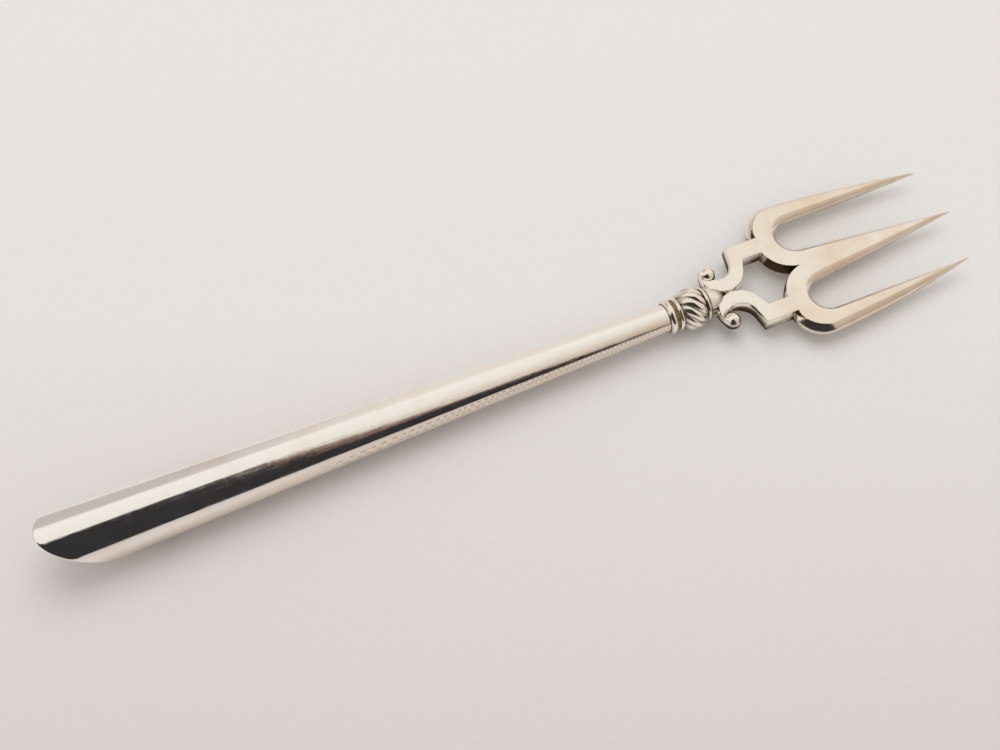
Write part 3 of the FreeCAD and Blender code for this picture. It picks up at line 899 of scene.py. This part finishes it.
def silver(name, tint, tarnish, tarnish_low, tarnish_high, roughness, scratch_turn, seam=False):
    """Old silver: a warm tint, thin tarnish in patches, dirt with painted shade and painted reflection
    in the deep places and on the walls, fine scratches.
    """
    material, tree, shader = new_material(name)
    place = tree.nodes.new("ShaderNodeTexCoord").outputs["Object"]
    shade_and_grime = node(tree, "ShaderNodeAttribute", attribute_name="shade_and_grime").outputs["Fac"]
    parts = tree.nodes.new("ShaderNodeSeparateXYZ")
    tree.links.new(place, parts.inputs[0])
    # The tarnish is thicker on the lobes and tines than behind them.
    forward = ramp(tree, parts.outputs["X"], [(0.063, grey(0.0)), (0.077, grey(0.17))])
    patches = worked(tree, "ADD", noise(tree, place, 95.0, 5.0, 0.6), forward)
    thin = ramp(tree, patches, [(tarnish_low, grey(0.0)), (tarnish_high, grey(1.0))])
    body = mixed(tree, thin, (*tint, 1.0), (*tarnish, 1.0))
    # Dirt and painted shade from the point attribute, broken by a fine speckle, darken the colour and
    # dull the shine.
    speckle = noise(tree, place, 2600.0, 2.0)
    deep = worked(tree, "MULTIPLY_ADD", speckle, 0.5, shade_and_grime)
    shade_and_dirt = ramp(tree, deep, [(0.42, grey(0.0)), (0.8, grey(0.62)), (1.15, grey(1.0))])
    colour = mixed(tree, shade_and_dirt, body, DIRT_AND_SHADE_COLOUR)
    if seam:
        away = node(tree, "ShaderNodeAttribute", attribute_name="seam").outputs["Fac"]
        beside = worked(tree, "MULTIPLY", worked(tree, "ABSOLUTE", away), 0.2)
        beside = ramp(tree, beside, [(0.36, grey(1.0)), (0.62, grey(0.0))])
        colour = mixed(tree, beside, colour, WARM_STRIP_COLOUR)
        colour = mixed(tree, seam_chatter(tree, place), colour, MARK_COLOUR)
    tree.links.new(colour, shader.inputs["Base Color"])
    shader.inputs["Metallic"].default_value = 1.0
    rough_noise = noise(tree, place, 420.0, 4.0, 0.65)
    rough = ramp(tree, rough_noise, [(0.3, grey(roughness[0])), (0.75, grey(roughness[1]))])
    fine = noise(tree, scaled(tree, place, (60.0, 3000.0, 3000.0), scratch_turn), 1.0, 2.0)
    cross = noise(tree, scaled(tree, place, (4200.0, 160.0, 4200.0), (0.0, 0.0, 0.6)), 1.0, 2.0)
    pits = noise(tree, place, 900.0, 3.0)
    lines = ramp(tree, fine, [(0.60, grey(1.0)), (0.66, grey(0.55)), (0.72, grey(1.0))])
    lines_across = ramp(tree, cross, [(0.63, grey(1.0)), (0.68, grey(0.6)), (0.73, grey(1.0))])
    rough = mixed(tree, lines, grey(0.32), rough)
    rough = mixed(tree, shade_and_dirt, rough, grey(0.55))
    tree.links.new(rough, shader.inputs["Roughness"])
    height = worked(tree, "MULTIPLY_ADD", pits, 0.9, worked(tree, "MULTIPLY", lines, lines_across))
    bump = node(tree, "ShaderNodeBump", Strength=0.12, Distance=0.00003)
    tree.links.new(height, bump.inputs["Height"])
    slow = noise(tree, place, 130.0, 2.0)
    wave = node(tree, "ShaderNodeBump", Strength=0.25, Distance=0.0001)
    tree.links.new(slow, wave.inputs["Height"])
    tree.links.new(bump.outputs[0], wave.inputs["Normal"])
    tree.links.new(wave.outputs[0], shader.inputs["Normal"])
    return material


def golden_solder():
    """Grains of golden solder with dark between them."""
    material, tree, shader = new_material("golden_solder")
    place = tree.nodes.new("ShaderNodeTexCoord").outputs["Object"]
    grains = noise(tree, place, 3800.0, 3.0, 0.7)
    colour = ramp(
        tree,
        grains,
        [(0.32, (0.05, 0.03, 0.014)), (0.5, (0.34, 0.22, 0.09)), (0.68, (0.80, 0.64, 0.38))],
    )
    tree.links.new(colour, shader.inputs["Base Color"])
    shader.inputs["Metallic"].default_value = 0.8
    shader.inputs["Roughness"].default_value = 0.42
    bump = node(tree, "ShaderNodeBump", Strength=0.9, Distance=0.0002)
    tree.links.new(grains, bump.inputs["Height"])
    tree.links.new(bump.outputs[0], shader.inputs["Normal"])
    return material


def dark_resin():
    """The resin inside the handle, clouded brown."""
    material, tree, shader = new_material("dark_resin")
    place = tree.nodes.new("ShaderNodeTexCoord").outputs["Object"]
    clouds = noise(tree, place, 300.0, 4.0)
    colour = ramp(tree, clouds, [(0.3, (0.03, 0.018, 0.01)), (0.7, (0.075, 0.045, 0.024))])
    tree.links.new(colour, shader.inputs["Base Color"])
    shader.inputs["Roughness"].default_value = 0.5
    return material


def paper():
    """Pale paper with a fine grain, with painted shade making it a little darker and pinker on the near
    side.
    """
    material, tree, shader = new_material("pale_paper")
    place = tree.nodes.new("ShaderNodeTexCoord").outputs["Object"]
    grain = noise(tree, place, 500.0, 5.0, 0.6)
    far = ramp(tree, grain, [(0.2, (0.805, 0.785, 0.77)), (0.8, (0.83, 0.81, 0.795))])
    near = ramp(tree, grain, [(0.2, (0.695, 0.655, 0.645)), (0.8, (0.72, 0.68, 0.67))])
    parts = tree.nodes.new("ShaderNodeSeparateXYZ")
    tree.links.new(place, parts.inputs[0])
    # Painted shade: the paper's colour darkens towards the near side, where less light falls.
    across = worked(tree, "MULTIPLY_ADD", parts.outputs["X"], 0.42, parts.outputs["Y"])
    painted_near_shade = worked(tree, "MULTIPLY_ADD", across, -2.8, 0.45)
    painted_near_shade = ramp(tree, painted_near_shade, [(0.38, grey(0.0)), (0.60, grey(0.5)), (0.82, grey(1.0))])
    colour = mixed(tree, painted_near_shade, far, near)
    tree.links.new(colour, shader.inputs["Base Color"])
    shader.inputs["Roughness"].default_value = 0.95
    shader.inputs["Specular IOR Level"].default_value = 0.1
    return material


# Room


def make_world():
    """Pale all round for its light. Metal sees a room: dark in front, bright above, grey behind."""
    world = bpy.data.worlds.new("room")
    bpy.context.scene.world = world
    world.use_nodes = True
    tree = world.node_tree
    tree.nodes.clear()
    out = tree.nodes.new("ShaderNodeOutputWorld")
    coordinates = tree.nodes.new("ShaderNodeTexCoord")
    parts = tree.nodes.new("ShaderNodeSeparateXYZ")
    tree.links.new(coordinates.outputs["Generated"], parts.inputs[0])
    # 0 is level in front, 0.5 straight up and 1 level behind, for each place along the fork.
    front = worked(tree, "MULTIPLY", parts.outputs["Y"], -1.0)
    angle = worked(tree, "ARCTAN2", parts.outputs["Z"], front)
    share = worked(tree, "DIVIDE", angle, math.pi)
    # The bright and pale part of the room, which is greyer behind the butt.
    room = ramp(
        tree,
        share,
        [
            (0.0, (0.50, 0.42, 0.35)),
            (0.10, (0.58, 0.50, 0.43)),
            (0.30, (0.74, 0.67, 0.60)),
            (0.46, (0.88, 0.84, 0.79)),
            (0.72, (0.93, 0.90, 0.86)),
            (0.78, (0.84, 0.775, 0.725)),
            (0.96, (0.81, 0.735, 0.685)),
        ],
    )
    behind = ramp(tree, share, [(0.74, grey(0.0)), (0.78, grey(1.0))])
    by_butt = ramp(tree, parts.outputs["X"], [(0.10, grey(1.0)), (0.22, grey(0.0))])
    shade = worked(tree, "MULTIPLY", behind, by_butt)
    room = mixed(tree, shade, room, (0.57, 0.52, 0.50, 1.0))
    low_light = ramp(
        tree,
        share,
        [
            (0.0, (0.50, 0.42, 0.35)),
            (0.15, (0.64, 0.55, 0.47)),
            (0.32, (0.73, 0.65, 0.57)),
            (0.52, (0.86, 0.81, 0.75)),
        ],
    )
    sideways = ramp(tree, parts.outputs["X"], [(0.30, grey(0.0)), (0.40, grey(1.0))])
    beige = ramp(tree, share, [(0.50, grey(1.0)), (0.56, grey(0.0))])
    light = mixed(tree, worked(tree, "MULTIPLY", sideways, beige), room, low_light)
    # The dark part in front ends at the limit, and its upper part is brown.
    limit = ramp(
        tree,
        parts.outputs["X"],
        [
            (0.17, grey(0.456)),
            (0.22, grey(0.34)),
            (0.27, grey(0.233)),
            (0.32, grey(0.178)),
            (0.36, grey(0.067)),
            (0.40, grey(0.0)),
        ],
    )
    lit = worked(tree, "MULTIPLY_ADD", worked(tree, "SUBTRACT", share, limit), 8.0, 0.5)
    edge = ramp(tree, lit, [(0.42, grey(0.0)), (0.5, grey(0.12)), (0.6, grey(1.0))])
    brown_from = ramp(
        tree,
        parts.outputs["X"],
        [(0.16, grey(0.456)), (0.22, grey(0.17)), (0.28, grey(0.17)), (0.31, grey(0.178))],
    )
    brown = worked(tree, "MULTIPLY_ADD", worked(tree, "SUBTRACT", share, brown_from), 9.0, 0.3)
    brown = ramp(tree, brown, [(0.3, grey(0.0)), (0.7, grey(1.0))])
    dark = mixed(tree, brown, (0.030, 0.028, 0.030, 1.0), (0.20, 0.125, 0.105, 1.0))
    seen = mixed(tree, edge, dark, light)
    path = tree.nodes.new("ShaderNodeLightPath")
    colour = mixed(tree, path.outputs["Is Glossy Ray"], (0.86, 0.85, 0.84, 1.0), seen)
    shine = node(tree, "ShaderNodeBackground", Strength=1.0)
    tree.links.new(colour, shine.inputs["Color"])
    weak = node(tree, "ShaderNodeBackground", Strength=0.69, Color=(1.0, 0.965, 0.945, 1.0))
    split = tree.nodes.new("ShaderNodeMixShader")
    either = worked(tree, "MAXIMUM", path.outputs["Is Glossy Ray"], path.outputs["Is Camera Ray"])
    tree.links.new(either, split.inputs[0])
    tree.links.new(weak.outputs[0], split.inputs[1])
    tree.links.new(shine.outputs[0], split.inputs[2])
    tree.links.new(split.outputs[0], out.inputs[0])


def make_stage():
    """The pale sheet that the fork lies on."""
    mesh = bpy.data.meshes.new("table_top")
    mesh.from_pydata([(-2, -2, 0), (2, -2, 0), (2, 2, 0), (-2, 2, 0)], [], [(0, 1, 2, 3)])
    floor = bpy.data.objects.new("table_top", mesh)
    bpy.context.collection.objects.link(floor)
    mesh.materials.append(paper())


def add_lamp(name, place, target, size, watts, colour):
    """A round soft lamp that metal doesn't mirror."""
    lamp = bpy.data.lights.new(name, "AREA")
    lamp.shape = "DISK"
    lamp.size = size
    lamp.energy = watts
    lamp.color = colour
    thing = bpy.data.objects.new(name, lamp)
    bpy.context.collection.objects.link(thing)
    thing.location = place
    thing.rotation_euler = (Vector(target) - Vector(place)).to_track_quat("-Z", "Y").to_euler()
    thing.visible_glossy = False


def make_camera():
    """Over the handle, looking down along it to the tines."""
    eye = lay_down([CAMERA_PLACE])[0]
    forward = turned(CAMERA_FORWARD).normalized()
    up = turned(CAMERA_UP).normalized()
    right = forward.cross(up).normalized()
    up = right.cross(forward)
    data = bpy.data.cameras.new("camera")
    data.sensor_width = CAMERA_SENSOR_WIDTH
    data.lens = CAMERA_LENS
    camera = bpy.data.objects.new("camera", data)
    bpy.context.collection.objects.link(camera)
    turn = Matrix((right, up, -forward)).transposed()
    camera.matrix_world = Matrix.Translation(Vector(eye)) @ turn.to_4x4()
    data.clip_start = 0.01
    data.clip_end = 20.0
    bpy.context.scene.camera = camera


head_silver = silver(
    "head_silver",
    tint=(0.915, 0.86, 0.775),
    tarnish=(0.83, 0.695, 0.555),
    tarnish_low=0.47,
    tarnish_high=0.86,
    roughness=(0.10, 0.20),
    scratch_turn=(0.0, 0.0, 0.3),
)
handle_silver = silver(
    "handle_silver",
    tint=(0.95, 0.92, 0.88),
    tarnish=(0.88, 0.81, 0.74),
    tarnish_low=0.5,
    tarnish_high=0.85,
    roughness=(0.05, 0.11),
    scratch_turn=(0.0, 0.0, 0.0),
    seam=True,
)
# A darker, warmer copy of the handle's silver for the lower half: painted shade, which dims the floor it
# mirrors.
shaded_underside_silver = silver(
    "shaded_underside_silver",
    tint=(0.82, 0.73, 0.65),
    tarnish=(0.74, 0.62, 0.53),
    tarnish_low=0.45,
    tarnish_high=0.8,
    roughness=(0.08, 0.16),
    scratch_turn=(0.0, 0.0, 0.0),
    seam=True,
)

head = make_head(head_silver)
knop = make_knop(head_silver)
front_reed = make_reed(
    "front_reed_silver", FRONT_REED_BACK_X, KNOP_BACK_X, FRONT_REED_RADIUS, head_silver, 1.0
)
rear_reed = make_reed("rear_reed_silver", MOUTH_X, GROOVE_BACK_X, REAR_REED_RADIUS, head_silver, 2.0)
band = make_band(golden_solder())
upper_half = make_handle_half("handle_upper_silver", handle_silver, True)
lower_half = make_handle_half("handle_lower_silver", shaded_underside_silver, False)

placed = [
    (head, "fork_head", "head_silver"),
    (knop, "twisted_knop", "knop_silver"),
    (front_reed, "collar_front_reed", "collar_silver"),
    (rear_reed, "collar_rear_reed", "collar_silver"),
    (band, "solder_band", "solder"),
    (upper_half, "handle_upper_half", "handle_silver"),
    (lower_half, "handle_lower_half", "handle_silver"),
]
for piece, node_name, slot in placed:
    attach(piece, "root")
    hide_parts(node_name)

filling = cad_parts["handle_filling"]
resin = dark_resin()
for material_slot in filling.material_slots:
    material_slot.material = resin

make_stage()
make_world()
add_lamp("soft_key", (0.12, 0.42, 1.1), (0.0, 0.0, 0.0), 1.1, 5.15, (1.0, 0.985, 0.975))
make_camera()

scene = bpy.context.scene
scene.view_settings.view_transform = "Standard"
